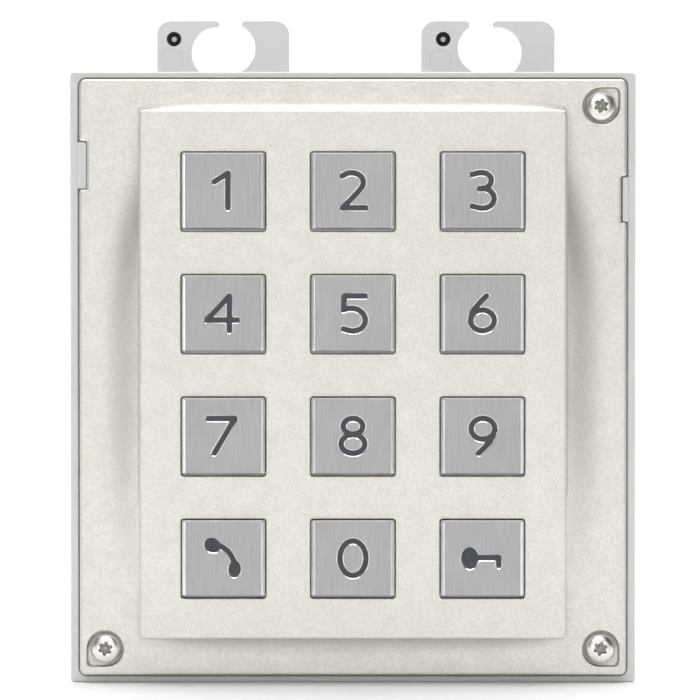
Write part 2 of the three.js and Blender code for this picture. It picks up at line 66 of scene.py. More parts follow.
def centre_mm(node):
    """Middle of a node's box, in millimetres."""
    low, high = box_mm(node)
    return [(a + b) / 2 for a, b in zip(low, high)]


# ---------- camera

EYE_DISTANCE = 690.0  # in front of the rear face
EYE_HEIGHT = 21.0
TARGET = (-0.5, -12.0, 4.6)  # the point in the middle of the view
VIEW_WIDTH = 119.9  # what the view spans at the target
SENSOR_WIDTH = 36.0
NEAREST = 20.0  # nothing nearer to the eye than this is seen


def make_camera():
    """Looks straight at the front from slightly above the middle."""
    eye = Vector((TARGET[0], -EYE_DISTANCE, EYE_HEIGHT))
    aim = Vector(TARGET) - eye
    data = bpy.data.cameras.new("camera")
    data.sensor_width = SENSOR_WIDTH
    data.lens = data.sensor_width * aim.length / VIEW_WIDTH
    data.clip_start = NEAREST * MM
    camera = bpy.data.objects.new("camera", data)
    camera.location = eye * MM
    camera.rotation_euler = aim.to_track_quat("-Z", "Y").to_euler()
    bpy.context.scene.collection.objects.link(camera)
    bpy.context.scene.camera = camera


# ---------- outlines across the front, in mm

ARC_STEP = 10.0  # degrees between the points of a rounded corner
LEAST_COSINE = 0.3  # keeps a sharp corner from being moved far out


def rounded(corners, step=ARC_STEP):
    """A closed outline from corners (x, z, radius), each turned into an arc."""
    count = len(corners)
    points = []
    for i, (x, z, radius) in enumerate(corners):
        before = Vector(corners[i - 1][:2])
        here = Vector((x, z))
        after = Vector(corners[(i + 1) % count][:2])
        back, ahead = (before - here).normalized(), (after - here).normalized()
        half = back.angle(ahead) / 2
        reach = radius / math.tan(half)
        start, end = here + back * reach, here + ahead * reach
        middle = here + (back + ahead).normalized() * (radius / math.sin(half))
        steps = max(2, math.ceil(math.degrees(math.pi - 2 * half) / step))
        first = math.atan2(*(start - middle).yx)
        turn = math.atan2(*(end - middle).yx) - first
        turn = (turn + math.pi) % (2 * math.pi) - math.pi
        for k in range(steps + 1):
            angle = first + turn * k / steps
            points.append((middle.x + radius * math.cos(angle), middle.y + radius * math.sin(angle)))
    return np.array(points)


def rectangle(x0, x1, z0, z1, radius, step=ARC_STEP):
    """A rounded rectangle, counter-clockwise seen from the front."""
    return rounded([(x1, z0, radius), (x1, z1, radius), (x0, z1, radius), (x0, z0, radius)], step)


def circle(x, z, radius, count=48, start=0.0):
    """A circle of evenly spaced points, the first at the angle start."""
    angles = start + np.arange(count) * 2 * math.pi / count
    return np.stack([x + radius * np.cos(angles), z + radius * np.sin(angles)], 1)


def outward(edges):
    """Unit normals to the right of each edge, which is outwards round a counter-clockwise outline."""
    ahead = edges / np.linalg.norm(edges, axis=1)[:, None]
    return np.stack([ahead[:, 1], -ahead[:, 0]], 1)


def offset(outline, distance):
    """The outline moved outwards (or inwards, if negative) along its own normals."""
    before = outward(outline - np.roll(outline, 1, 0))
    after = outward(np.roll(outline, -1, 0) - outline)
    mean = before + after
    mean /= np.linalg.norm(mean, axis=1)[:, None]
    cosine = (mean * before).sum(1)
    return outline + mean * (distance / np.maximum(cosine, LEAST_COSINE))[:, None]


def within(points, outline):
    """Whether each point lies inside a closed outline."""
    inside = np.zeros(len(points), bool)
    for a, b in zip(outline, np.roll(outline, -1, 0)):
        if a[1] == b[1]:
            continue
        across = (a[1] > points[:, 1]) != (b[1] > points[:, 1])
        crossing = a[0] + (points[:, 1] - a[1]) * (b[0] - a[0]) / (b[1] - a[1])
        inside ^= across & (points[:, 0] < crossing)
    return inside


def quarter(count):
    """Angles of a quarter turn, from 0 to 90 degrees."""
    return [math.pi / 2 * k / count for k in range(count + 1)]


# ---------- surfaces

WHOLE_HULL, INSIDE_LOOPS = 0, 1  # which triangles a triangulation keeps
SAME_POINT = 1e-7  # mm
MERGE_DISTANCE = 2e-6  # metres
SLIVER = 1e-8  # metres
RECESS_DEPTH = 3.0  # how deep the painted shade in a recess reaches
LEVEL = 0.001  # how closely a face lies at a depth
WELD_DISTANCE = 0.001
SOFT_EDGE = 0.12  # rounding of the inner parts' edges


class Skin:
    """A closed surface put together from loops of points, bridges between loops and flat fills."""

    def __init__(self):
        self.points = []
        self.faces = []

    def loop(self, outline, depth):
        """Adds an outline at a depth (a number, or one for each point) and returns its point numbers."""
        start = len(self.points)
        depths = np.broadcast_to(depth, len(outline))
        self.points += [(x, y, z) for (x, z), y in zip(outline, depths)]
        return list(range(start, len(self.points)))

    def bridge(self, a, b):
        """Four-sided faces between two loops of the same length."""
        for i in range(len(a)):
            k = (i + 1) % len(a)
            self.faces.append((a[i], b[i], b[k], a[k]))

    def strip(self, loops):
        """Bridges from each loop to the next."""
        for a, b in zip(loops, loops[1:]):
            self.bridge(a, b)

    def front_edge(self, outline, depth, radius, steps, side=-1):
        """Loops from a face at that depth round its edge: side is -1 round a form, 1 round a hole."""
        return [
            self.loop(offset(outline, side * radius * (1 - math.sin(a))), depth + radius * (1 - math.cos(a)))
            for a in quarter(steps)
        ]

    def back_edge(self, outline, depth, radius, steps):
        """Loops from a form's side round the edge of its back, which is at that depth."""
        return [
            self.loop(offset(outline, -radius * (1 - math.cos(a))), depth - radius * (1 - math.sin(a)))
            for a in quarter(steps)
        ]

    def fill(self, outer, holes=()):
        """Triangles between an outer loop and the loops of its holes."""
        loops = [outer, *holes]
        numbers = [i for loop in loops for i in loop]
        flat = np.array([(self.points[i][0], self.points[i][2]) for i in numbers])
        edges = []
        start = 0
        for loop in loops:
            edges += [(start + i, start + (i + 1) % len(loop)) for i in range(len(loop))]
            start += len(loop)
        made = delaunay_2d_cdt([Vector(p) for p in flat], edges, [], INSIDE_LOOPS, SAME_POINT)
        if len(made[0]) != len(flat):
            raise ValueError("the loops of a fill cross or touch")
        back = [origins[0] for origins in made[3]]
        triangles = np.array([[back[i] for i in face] for face in made[2]])
        middles = flat[triangles].mean(1)
        kept = within(middles, flat[: len(outer)])
        start = len(outer)
        for hole in holes:
            kept &= ~within(middles, flat[start : start + len(hole)])
            start += len(hole)
        self.faces += [tuple(numbers[i] for i in triangle) for triangle in triangles[kept]]

    def dome(self, loop, x, z, depth):
        """Closes a loop with a point in front of or behind its middle."""
        middle = len(self.points)
        self.points.append((x, depth, z))
        self.faces += [(loop[i], loop[(i + 1) % len(loop)], middle) for i in range(len(loop))]

    def make(self, name, material, sharp):
        """The finished piece: edges that turn by more than sharp degrees stay crisp."""
        mesh = bpy.data.meshes.new(name)
        mesh.from_pydata([tuple(c * MM for c in p) for p in self.points], [], self.faces)
        return finish_piece(name, mesh, material, sharp)


def finish_piece(name, mesh, material, sharp):
    """Points the faces outwards, marks sharp edges, and shades by face area."""
    bm = bmesh.new()
    bm.from_mesh(mesh)
    bmesh.ops.remove_doubles(bm, verts=bm.verts, dist=MERGE_DISTANCE)
    bmesh.ops.dissolve_degenerate(bm, edges=bm.edges, dist=SLIVER)
    bmesh.ops.recalc_face_normals(bm, faces=bm.faces)
    limit = math.radians(sharp)
    for edge in bm.edges:
        edge.smooth = len(edge.link_faces) == 2 and edge.calc_face_angle(0.0) < limit
    for face in bm.faces:
        face.smooth = True
    bm.to_mesh(mesh)
    bm.free()
    mesh.materials.append(material)
    piece = bpy.data.objects.new(name, mesh)
    bpy.context.scene.collection.objects.link(piece)
    weighted = piece.modifiers.new("weighted", "WEIGHTED_NORMAL")
    weighted.keep_sharp = True
    return piece


def paint_recess_shade(piece, finish, middle, radius, front_y):
    """Gives the faces inside a round recess, behind its rim, a second, darker material: painted shade."""
    mesh = piece.data
    mesh.materials.append(finish)
    for polygon in mesh.polygons:
        x, y, z = (c / MM for c in polygon.center)
        if front_y < y < front_y + RECESS_DEPTH and math.hypot(x - middle[0], z - middle[1]) < radius:
            polygon.material_index = 1


def crease(piece, middle, reach, face_y):
    """Makes the rim of an engraving sharp all the way round, so that the face stays evenly lit."""
    bm = bmesh.new()
    bm.from_mesh(piece.data)
    for edge in bm.edges:
        level = {
            all(abs(v.co.y / MM - face_y) < LEVEL for v in face.verts) for face in edge.link_faces
        }
        x, _, z = edge.verts[0].co / MM
        if len(level) == 2 and max(abs(x - middle[0]), abs(z - middle[1])) < reach:
            edge.smooth = False
    bm.to_mesh(piece.data)
    bm.free()


def soften(node):
    """Joins the triangles of an inner part and rounds its sharp edges a little."""
    weld = node.modifiers.new("joined", "WELD")
    weld.merge_threshold = WELD_DISTANCE * MM
    bevel = node.modifiers.new("soft_edges", "BEVEL")
    bevel.width = SOFT_EDGE * MM
    bevel.segments = 2
    bevel.limit_method = "ANGLE"
    bevel.angle_limit = math.radians(50)
    bevel.use_clamp_overlap = True


def settle(piece, body, slot, *replaced):
    """Puts a piece on the body that it rides on and hides the nodes that it stands for; its finish, slot, is
    not used.
    """
    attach(piece, body)
    if replaced:
        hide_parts(*replaced)
    return piece


# ---------- materials

def shader_nodes(name, colour, roughness, metallic=0.0):
    """A new material, its node tree and its shader."""
    material = bpy.data.materials.new(name)
    material.use_nodes = True
    tree = material.node_tree
    shader = tree.nodes["Principled BSDF"]
    shader.inputs["Base Color"].default_value = (*colour, 1.0)
    shader.inputs["Roughness"].default_value = roughness
    shader.inputs["Metallic"].default_value = metallic
    return material, tree, shader


def place(tree, stretch=(1.0, 1.0, 1.0)):
    """Object coordinates, stretched."""
    coordinates = tree.nodes.new("ShaderNodeTexCoord")
    mapping = tree.nodes.new("ShaderNodeMapping")
    mapping.inputs["Scale"].default_value = stretch
    tree.links.new(coordinates.outputs["Object"], mapping.inputs["Vector"])
    return mapping.outputs["Vector"]


def noise(tree, vector, scale, detail=3.0, roughness=0.55):
    """Cloudy values round 0.5, finer as the scale rises."""
    node = tree.nodes.new("ShaderNodeTexNoise")
    node.inputs["Scale"].default_value = scale
    node.inputs["Detail"].default_value = detail
    node.inputs["Roughness"].default_value = roughness
    tree.links.new(vector, node.inputs["Vector"])
    return node.outputs["Fac"]


def ramp(tree, value, low, high, from_low=0.3, from_high=0.7):
    """Stretches a noise's usual range to run from low to high."""
    node = tree.nodes.new("ShaderNodeMapRange")
    node.inputs["From Min"].default_value = from_low
    node.inputs["From Max"].default_value = from_high
    node.inputs["To Min"].default_value = low
    node.inputs["To Max"].default_value = high
    tree.links.new(value, node.inputs["Value"])
    return node.outputs["Result"]


def blend_colours(tree, factor, a, b):
    """Mixes two colours, either of which may come from another node."""
    node = tree.nodes.new("ShaderNodeMix")
    node.data_type = "RGBA"
    tree.links.new(factor, node.inputs["Factor"])
    for socket, colour in ((node.inputs[6], a), (node.inputs[7], b)):
        if hasattr(colour, "is_linked"):
            tree.links.new(colour, socket)
        else:
            socket.default_value = (*colour, 1.0)
    return node.outputs[2]


def bump(tree, heights, target):
    """Chains (height, strength, distance) bumps into the shader."""
    normal = None
    for height, strength, distance in heights:
        node = tree.nodes.new("ShaderNodeBump")
        node.inputs["Strength"].default_value = strength
        node.inputs["Distance"].default_value = distance
        tree.links.new(height, node.inputs["Height"])
        if normal:
            tree.links.new(normal, node.inputs["Normal"])
        normal = node.outputs["Normal"]
    tree.links.new(normal, target)


def cast_nickel():
    """Satin nickel on a die casting: broad warm and pale clouds under a fine grain."""
    material, tree, shader = shader_nodes("cast_nickel", (0.8, 0.78, 0.71), 0.46, 1.0)
    vector = place(tree)
    broad = noise(tree, vector, scale=240.0, detail=5.0, roughness=0.65)
    grain = noise(tree, vector, scale=2200.0, detail=3.0, roughness=0.6)
    speckle = noise(tree, vector, scale=4200.0, detail=2.0, roughness=0.5)
    tint = blend_colours(tree, ramp(tree, broad, 0.0, 1.0), (0.815, 0.80, 0.735), (0.875, 0.87, 0.85))
    tint = blend_colours(tree, ramp(tree, grain, 0.0, 0.55), tint, (0.69, 0.67, 0.595))
    tree.links.new(tint, shader.inputs["Base Color"])
    tree.links.new(ramp(tree, grain, 0.42, 0.56), shader.inputs["Roughness"])
    bump(tree, [(grain, 0.5, 0.00006), (speckle, 0.35, 0.00002)], shader.inputs["Normal"])
    return material


def brushed_steel(name, colour, roughness, along):
    """Steel with fine brush lines along x or z."""
    material, tree, shader = shader_nodes(name, colour, roughness, 1.0)
    stretch = (60.0, 1.0, 1500.0) if along == "x" else (1500.0, 1.0, 60.0)
    lines = noise(tree, place(tree, stretch), scale=2.5, detail=3.0, roughness=0.6)
    broad = noise(tree, place(tree), scale=160.0, detail=2.0)
    dark = tuple(c * 0.9 for c in colour)
    light = tuple(min(1.0, c * 1.06) for c in colour)
    tint = blend_colours(tree, ramp(tree, lines, 0.0, 1.0), dark, light)
    tree.links.new(tint, shader.inputs["Base Color"])
    tree.links.new(ramp(tree, broad, roughness - 0.03, roughness + 0.05), shader.inputs["Roughness"])
    bump(tree, [(lines, 0.12, 0.00001)], shader.inputs["Normal"])
    return material


def legend_resin():
    """Dark blue-grey resin with a slight gloss."""
    material, tree, shader = shader_nodes("legend_resin", (0.06, 0.07, 0.09), 0.35)
    shader.inputs["Coat Weight"].default_value = 0.3
    cloud = noise(tree, place(tree), scale=900.0, detail=2.0)
    tint = blend_colours(tree, ramp(tree, cloud, 0.0, 1.0), (0.022, 0.028, 0.040), (0.035, 0.042, 0.055))
    tree.links.new(tint, shader.inputs["Base Color"])
    bump(tree, [(cloud, 0.1, 0.00002)], shader.inputs["Normal"])
    return material


def moulded_plastic(name, colour, roughness):
    """Plastic or rubber with the fine texture of its mould."""
    material, tree, shader = shader_nodes(name, colour, roughness)
    vector = place(tree)
    texture = noise(tree, vector, scale=2600.0, detail=2.0)
    broad = noise(tree, vector, scale=60.0, detail=3.0)
    dark = tuple(c * 0.94 for c in colour)
    tint = blend_colours(tree, ramp(tree, broad, 0.0, 1.0), dark, colour)
    tree.links.new(tint, shader.inputs["Base Color"])
    tree.links.new(ramp(tree, texture, roughness - 0.04, roughness + 0.08), shader.inputs["Roughness"])
    bump(tree, [(texture, 0.25, 0.00002)], shader.inputs["Normal"])
    return material


# ---------- front plate

BORDER_Y = -17.0
PLATE_CORNER = 1.1
PLATE_EDGE = 0.45
BACK_CHAMFER = 0.2
NOTCHES = [(1, 30.3, 7.9, 0.9), (-1, 36.1, 8.2, 1.3)]  # side, height, length, depth
NOTCH_INSIDE, NOTCH_OUTSIDE = 0.25, 0.6  # radii of a notch's corners

PANEL = (-36.2, 36.2, -44.15, 45.35)
PANEL_RADIUS = 0.8
PANEL_EDGE = 0.6  # rounding of the panel's edge
PANEL_TURN = 55.0  # how far the rounding turns before the hollow sweep starts
PANEL_THICKNESS = 2.2
CAVITY = (-32.5, 32.5, -40.4, 41.6)  # the hollow behind the panel
CAVITY_RADIUS = 2.0

COVE_CURVE = 2.8
COVE_SIDE, COVE_END, COVE_CORNER = 8.2, 3.8, 1.4  # reach of the hollow sweep beyond the panel
COVE_SIDE_RISE, COVE_END_RISE, COVE_CORNER_RISE = 2.6, 1.4, 0.1
SIDE_NARROWING, END_NARROWING = 3, 8  # the higher, the nearer to the corner the sweep narrows
FADE_START, FADE_END = 0.25, 0.9  # where the sides' sweep sinks away, as a share of the half height

HOLE_GAP, FOOT_GAP = 0.13, 0.5  # round a key, and below it
HOLE_EDGE = 0.22
HOLE_RADIUS = 0.45
KEY_FLANGE = 1.1  # how far a key's flange reaches beyond its sides

POCKET_RADIUS = 3.1
POCKET_CORNER = 0.95
POCKET_DEPTH = 1.72  # from the top of the screw's head to the floor
POCKET_EDGE = 0.25
POCKET_TAPER = 0.02
POCKET_FILLET = 0.15
CLOSEST = 0.02  # points nearer to each other than this are one
SCREW_HOLE = 1.5


def plate_outline(half_x, half_z):
    """The plate's edge with its two latch notches, counter-clockwise."""
    runs = {}
    for side, z, length, depth in NOTCHES:
        first, last = z - side * length / 2, z + side * length / 2
        runs[side] = [
            (side * half_x, first, NOTCH_OUTSIDE),
            (side * (half_x - depth), first, NOTCH_INSIDE),
            (side * (half_x - depth), last, NOTCH_INSIDE),
            (side * half_x, last, NOTCH_OUTSIDE),
        ]
    return rounded([
        (half_x, -half_z, PLATE_CORNER),
        *runs[1],
        (half_x, half_z, PLATE_CORNER),
        (-half_x, half_z, PLATE_CORNER),
        *runs[-1],
        (-half_x, -half_z, PLATE_CORNER),
    ])


def divided(outline, step):
    """The outline with its long straight runs divided."""
    points = []
    for a, b in zip(outline, np.roll(outline, -1, 0)):
        count = max(1, round(np.linalg.norm(b - a) / step))
        points += [a + (b - a) * k / count for k in range(count)]
    return np.array(points)


def cove_size(outline):
    """How far the hollow sweep reaches beyond each point of the panel's outline, and how high it climbs."""
    x0, x1, z0, z1 = PANEL
    along_x = np.abs(outline[:, 0] - (x0 + x1) / 2) / ((x1 - x0) / 2)
    along_z = np.abs(outline[:, 1] - (z0 + z1) / 2) / ((z1 - z0) / 2)
    is_side = along_x > along_z
    side_width = 1 - np.clip(along_z, 0, 1) ** SIDE_NARROWING
    end_width = 1 - np.clip(along_x, 0, 1) ** END_NARROWING
    width = np.where(is_side, side_width, end_width)
    reach = COVE_CORNER + width * (np.where(is_side, COVE_SIDE, COVE_END) - COVE_CORNER)
    share = np.clip((along_z - FADE_START) / (FADE_END - FADE_START), 0, 1)
    climb = np.where(is_side, 1 - share * share * (3 - 2 * share), width)
    highest = np.where(is_side, COVE_SIDE_RISE, COVE_END_RISE)
    return reach, COVE_CORNER_RISE + climb * (highest - COVE_CORNER_RISE)


def pocket_outline(x, z):
    """A circle with a square quarter towards the plate's corner."""
    towards = (math.copysign(1, x), math.copysign(1, z))
    corners = []
    for dx, dz in ((1, -1), (1, 1), (-1, 1), (-1, -1)):
        radius = POCKET_CORNER if (dx, dz) == towards else POCKET_RADIUS
        corners.append((x + dx * POCKET_RADIUS, z + dz * POCKET_RADIUS, radius))
    points = rounded(corners, 6.0)
    apart = np.linalg.norm(points - np.roll(points, 1, 0), axis=1) > CLOSEST
    return points[apart]


def plate_edge(skin, half_x, half_z, back_y):
    """The plate's outer edge; returns the loops of its front and back."""
    outline = plate_outline(half_x, half_z)
    rings = skin.front_edge(outline, BORDER_Y, PLATE_EDGE, 5)
    rings.append(skin.loop(outline, back_y - BACK_CHAMFER))
    rings.append(skin.loop(offset(outline, -BACK_CHAMFER), back_y))
    skin.strip(rings)
    return rings[0], rings[-1]


def raised_panel(skin, panel_y):
    """The panel's rounded edge and the hollow sweep round it, widest half way along each side."""
    panel = divided(rectangle(*PANEL, PANEL_RADIUS, 7.5), 1.5)
    turn = math.radians(PANEL_TURN)
    rings = []
    for a in np.linspace(0, turn, 7):
        inset = PANEL_EDGE * (math.sin(turn) - math.sin(a))
        rings.append(skin.loop(offset(panel, -inset), panel_y + PANEL_EDGE * (1 - math.cos(a))))
    reach, rise = cove_size(panel)
    outwards = offset(panel, 1.0) - panel
    for share in np.linspace(0, 1, 18):
        sweep = panel + outwards * (reach * share)[:, None]
        rings.append(skin.loop(sweep, BORDER_Y - rise * (1 - share) ** COVE_CURVE))
    skin.strip(rings)
    return rings[0], rings[-1]


def screw_pocket(skin, screw, back_y):
    """A pocket for a corner screw, with the hole through its floor; returns its front and back loops."""
    x, _, z = centre_mm(screw)
    outline = pocket_outline(x, z)
    floor_y = box_mm(screw)[0][1] + POCKET_DEPTH
    rings = skin.front_edge(outline, BORDER_Y, POCKET_EDGE, 4, 1)
    rings.append(skin.loop(offset(outline, -POCKET_TAPER), floor_y - POCKET_FILLET))
    rings.append(skin.loop(offset(outline, -POCKET_TAPER - POCKET_FILLET), floor_y))
    skin.strip(rings)
    hole = circle(x, z, SCREW_HOLE, 24)
    hole_rings = [skin.loop(hole, floor_y), skin.loop(hole, back_y)]
    skin.fill(rings[-1], [hole_rings[0]])
    skin.strip(hole_rings)
    return rings[0], hole_rings[1]


def key_hole(skin, key, panel_y, cavity_y):
    """The hole for a key; returns its front and back loops."""
    (x0, _, z0), (x1, _, z1) = box_mm(f"key_{key}")
    inset = KEY_FLANGE - HOLE_GAP
    foot = z0 + KEY_FLANGE - FOOT_GAP
    outline = rectangle(x0 + inset, x1 - inset, foot, z1 - inset, HOLE_RADIUS)
    rings = skin.front_edge(outline, panel_y, HOLE_EDGE, 4, 1)
    rings.append(skin.loop(outline, cavity_y))
    skin.strip(rings)
    return rings[0], rings[-1]


def make_plate(material):
    """The front plate: border, raised panel with its key holes, and screw pockets."""
    low, high = box_mm("front_plate")
    panel_y, back_y = low[1], high[1]
    cavity_y = panel_y + PANEL_THICKNESS
    skin = Skin()
    border_front, border_back = plate_edge(skin, high[0], high[2], back_y)
    panel_front, cove_base = raised_panel(skin, panel_y)
    pockets = [screw_pocket(skin, f"corner_screw_{corner}", back_y) for corner in SCREWED]
    skin.fill(border_front, [cove_base] + [front for front, _ in pockets])
    holes = [key_hole(skin, key, panel_y, cavity_y) for key in KEYS]
    skin.fill(panel_front, [front for front, _ in holes])
    cavity = rectangle(*CAVITY, CAVITY_RADIUS)
    cavity_rings = [skin.loop(cavity, cavity_y), skin.loop(cavity, back_y)]
    skin.strip(cavity_rings)
    skin.fill(cavity_rings[0], [back for _, back in holes])
    skin.fill(border_back, [cavity_rings[1]] + [back for _, back in pockets])
    return settle(skin.make("plate_casting", material, 55.0), "module", "cast_nickel", "front_plate")


# ---------- legends

STROKE = 0.68
GROOVE = 0.28  # how far the groove's wall slopes outwards
GROOVE_DEPTH = 0.28
RESIN_DEPTH = 0.18
LEGEND_REACH = 4.5  # every legend lies within this distance of its key's middle, across and up
RIM_SHARE = 0.12  # a wall point shallower than this share of the groove is level with the face
NEAR_POINT = 1e-5  # points of two strokes nearer than this are one


def line(x0, z0, x1, z1):
    """A straight stroke."""
    return np.array([(x0, z0), (x1, z1)])


def bend(*points):
    """A smooth open curve through the points."""
    given = np.array(points)
    padded = np.vstack([2 * given[0] - given[1], given, 2 * given[-1] - given[-2]])
    out = []
    for a, b, c, d in zip(padded, padded[1:], padded[2:], padded[3:]):
        for t in np.linspace(0, 1, 9)[:-1]:
            square = (2 * a - 5 * b + 4 * c - d) * t**2
            cube = (3 * b - a - 3 * c + d) * t**3
            out.append(0.5 * (2 * b + (c - a) * t + square + cube))
    return np.array(out + [given[-1]])


def ring(x, z, rx, rz):
    """An oval stroke that closes on itself."""
    angles = np.linspace(0, 2 * math.pi, 49)
    return np.stack([x + rx * np.cos(angles), z + rz * np.sin(angles)], 1)


def blob(x, z, rx, rz, turn=0.0):
    """A filled oval, as the outline that a stroke of no width would follow."""
    angles = np.linspace(0, 2 * math.pi, 41)[:-1]
    px, pz = rx * np.cos(angles), rz * np.sin(angles)
    return {"oval": np.stack([x + px * math.cos(turn) - pz * math.sin(turn),
                              z + px * math.sin(turn) + pz * math.cos(turn)], 1)}


LEGENDS = {  # strokes from the middle of a key, in mm
    "1": [line(0.8, -2.92, 0.8, 2.92), line(0.8, 2.92, -1.45, 1.5)],
    "2": [bend((-1.8, 2.45), (-0.9, 2.9), (0.15, 2.95), (1.15, 2.55), (1.7, 1.75), (1.65, 0.9), (1.1, 0.05),
               (-0.2, -1.35), (-1.75, -2.92)),
          line(-1.75, -2.92, 2.1, -2.92)],
    "3": [bend((-1.75, 2.7), (-0.6, 2.98), (0.45, 2.9), (1.2, 2.4), (1.4, 1.65), (1.1, 0.9), (0.4, 0.42),
               (-0.55, 0.3)),
          bend((-0.55, 0.3), (0.6, 0.22), (1.5, -0.3), (1.9, -1.3), (1.6, -2.25), (0.8, -2.82), (-0.3, -2.97),
               (-1.75, -2.65))],
    "4": [line(1.05, 2.92, -2.75, -1.15), line(-2.75, -1.15, 2.4, -1.15), line(1.05, 2.92, 1.05, -2.92)],
    "5": [line(2.05, 2.92, -1.45, 2.92), line(-1.45, 2.92, -1.6, 0.55),
          bend((-1.6, 0.55), (-0.6, 0.82), (0.5, 0.72), (1.45, 0.2), (2.0, -0.65), (2.02, -1.6), (1.5, -2.45),
               (0.7, -2.88), (-0.3, -2.97), (-1.6, -2.65))],
    "6": [ring(-0.05, -1.2, 2.0, 1.75),
          bend((0.65, 2.92), (-0.35, 1.95), (-1.2, 0.9), (-1.8, -0.15), (-2.05, -1.2))],
    "7": [line(-2.5, 2.92, 1.95, 2.92), line(1.95, 2.92, -1.5, -2.92)],
    "8": [ring(0, 1.62, 1.65, 1.33), ring(0, -1.38, 2.0, 1.57)],
    "9": [ring(0.05, 1.2, 2.0, 1.75),
          bend((-0.65, -2.92), (0.35, -1.95), (1.2, -0.9), (1.8, 0.15), (2.05, 1.2))],
    "0": [ring(0, 0, 2.2, 2.92)],
    "call": [blob(-1.85, 2.2, 1.3, 1.1, -0.5),
             bend((-1.5, 2.35), (-0.2, 1.9), (1.1, 0.8), (1.85, -0.8), (1.9, -1.7)),
             blob(1.9, -1.85, 0.95, 1.3, -0.1)],
    "unlock": [blob(-2.15, 0, 1.35, 1.75), line(-1.3, 0.1, 2.75, 0.1), line(2.75, 0.1, 2.75, -1.25)],
}


def round_end(middle, spoke):
    """Points half way round the end of a stroke, starting from beside the spoke."""
    turned = np.array([-spoke[1], spoke[0]])
    angles = np.linspace(0, math.pi, 13)[1:-1]
    return np.array([middle + spoke * math.cos(a) + turned * math.sin(a) for a in angles])


def stroke_outlines(stroke, half):
    """The closed outlines of a stroke of that half width, and of its hole if it is a ring."""
    if isinstance(stroke, dict):
        grow = half - STROKE / 2
        return [offset(stroke["oval"], grow) if abs(grow) > 1e-6 else stroke["oval"]]
    if np.allclose(stroke[0], stroke[-1]):
        closed = stroke[:-1]
        return [offset(closed, half), offset(closed, -half)]
    right = outward(np.gradient(stroke, axis=0)) * half
    there = round_end(stroke[-1], right[-1])
    back = round_end(stroke[0], -right[0])
    return [np.vstack([stroke + right, there, (stroke - right)[::-1], back])]


def distance_to(strokes, points):
    """Distance from each point to the nearest stroke's edge, negative inside a stroke."""
    nearest = np.full(len(points), 1e9)
    for stroke in strokes:
        filled = isinstance(stroke, dict)
        path = np.vstack([stroke["oval"], stroke["oval"][:1]]) if filled else stroke
        here = np.full(len(points), 1e9)
        for a, b in zip(path, path[1:]):
            d = b - a
            t = np.clip(((points - a) @ d) / (d @ d), 0, 1)
            here = np.minimum(here, np.linalg.norm(points - a - t[:, None] * d, axis=1))
        edge = np.where(within(points, stroke["oval"]), -here, here) if filled else here - STROKE / 2
        nearest = np.minimum(nearest, edge)
    return nearest


def stroke_mesh(name, border=None, halves=(0.0,)):
    """Triangles of a legend's outlines at several widths, with an optional border loop round them.

    Returns points, triangles, each point's distance to the stroke's edge, and which given points it was."""
    strokes = LEGENDS[name]
    points, edges = [], []

    def add(outline):
        start = len(points)
        points.extend(Vector(p) for p in outline)
        edges.extend((start + i, start + (i + 1) % len(outline)) for i in range(len(outline)))

    if border is not None:
        add(border)
    for grow in halves:
        for stroke in strokes:
            for outline in stroke_outlines(stroke, STROKE / 2 + grow):
                add(outline)
    made = delaunay_2d_cdt(points, edges, [], WHOLE_HULL, NEAR_POINT)
    flat = np.array([tuple(v) for v in made[0]])
    return flat, made[2], distance_to(strokes, flat), made[3]


# ---------- keys

FACE_BEVEL = 0.72  # width at the sides
END_BEVEL, FOOT_BEVEL = 0.24, 0.1  # width at the top and at the foot
BEVEL_DEPTH = 0.72
BEVEL_PROFILE = [(0.12, 0.04), (0.9, 0.86), (1.0, 1.1)]  # shares of the width and of the depth
KEY_RADIUS, FACE_RADIUS = 0.3, 0.12
FLANGE_THICKNESS = 1.0
BRIGHT_START, BRIGHT_END = 0.06, BEVEL_DEPTH * 1.15  # depths between which the bevels are painted lighter, as a highlight
BRIGHT_LEAN = (-0.97, -0.05)  # how far the normal of a face painted as a highlight points forwards
RESIN_OVERLAP, RESIN_BACK = 0.02, 0.05  # how far the resin reaches into the groove's wall and floor


def face_outline(half_x, half_z, share):
    """A key's outline, from the edge of its face (share 0) to its sides (share 1)."""
    left = 1 - share
    half_width = half_x - FACE_BEVEL * left
    foot = FOOT_BEVEL * left - half_z
    head = half_z - END_BEVEL * left
    return rectangle(-half_width, half_width, foot, head, FACE_RADIUS + (KEY_RADIUS - FACE_RADIUS) * share)


